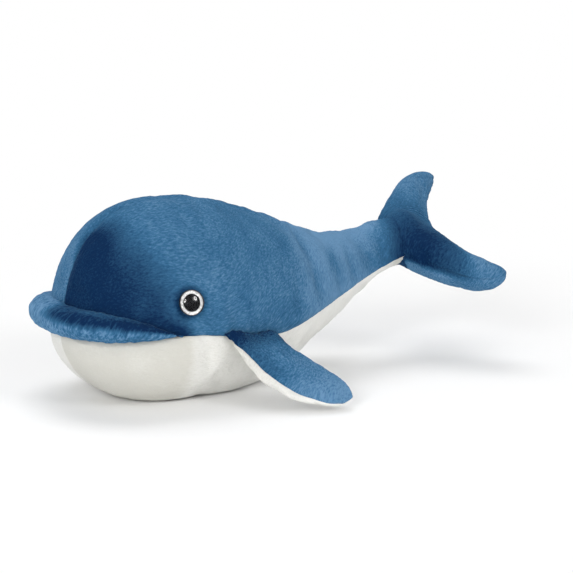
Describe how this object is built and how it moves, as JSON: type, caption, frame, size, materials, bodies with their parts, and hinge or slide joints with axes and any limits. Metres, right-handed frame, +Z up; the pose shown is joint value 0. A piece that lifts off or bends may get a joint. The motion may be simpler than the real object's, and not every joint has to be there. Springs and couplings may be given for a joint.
{
  "type": "plush whale",
  "caption": "Soft stuffed whale with a blue plush back, pale belly, stuffed upper lip, locking eyes, and flippers and a tail fluke that bend on sewn seams.",
  "frame": {"origin": "on the flat patch of the belly that the whale rests on, in the middle plane, 30 mm behind the widest station of the head", "axes": "+X runs back from the nose to the tail, -Y is the whale's left, +Z is up"},
  "size_m": [0.4049, 0.2746, 0.154],
  "materials": {
    "blue_plush": "short dense pile, mid blue that goes darker where it is brushed back",
    "white_plush": "short dense pile, off-white",
    "fibre_fill": "loose white polyester fibre, hidden",
    "clear_dome": "clear moulded plastic, polished",
    "black_pupil": "gloss black disc",
    "silver_glitter": "silver glitter flake on a thin disc",
    "washer_plastic": "moulded natural plastic, hidden"
  },
  "bodies": {
    "body": {"back_panel_left": "blue_plush", "back_panel_right": "blue_plush", "belly_panel": "white_plush", "body_stuffing": "fibre_fill", "lip_cover": "blue_plush", "lip_stuffing": "fibre_fill", "eye_dome_left": "clear_dome", "eye_pupil_left": "black_pupil", "eye_glitter_left": "silver_glitter", "eye_washer_left": "washer_plastic", "eye_dome_right": "clear_dome", "eye_pupil_right": "black_pupil", "eye_glitter_right": "silver_glitter", "eye_washer_right": "washer_plastic"},
    "flipper_left": {"flipper_left_top": "blue_plush", "flipper_left_underside": "white_plush", "flipper_left_stuffing": "fibre_fill"},
    "flipper_right": {"flipper_right_top": "blue_plush", "flipper_right_underside": "white_plush", "flipper_right_stuffing": "fibre_fill"},
    "fluke": {"fluke_top": "blue_plush", "fluke_underside": "blue_plush", "fluke_stuffing": "fibre_fill"}
  },
  "joints": [
    {"name": "flipper_left_root", "type": "hinge", "parent": "body", "child": "flipper_left", "pos_m": [0.01319, -0.07416, 0.05089], "axis": [-0.9815, -0.1386, 0.1321], "range_deg": [-4, 60], "stiffness_Nm_per_rad": 0.05},
    {"name": "flipper_right_root", "type": "hinge", "parent": "body", "child": "flipper_right", "pos_m": [0.01319, 0.07416, 0.05089], "axis": [0.9815, -0.1386, -0.1321], "range_deg": [-4, 60], "stiffness_Nm_per_rad": 0.05},
    {"name": "fluke_bend", "type": "hinge", "parent": "body", "child": "fluke", "pos_m": [0.204, 0, 0.09985], "axis": [0.1261, 0.8975, 0.4226], "range_deg": [-25, 25], "stiffness_Nm_per_rad": 0.3}
  ]
}
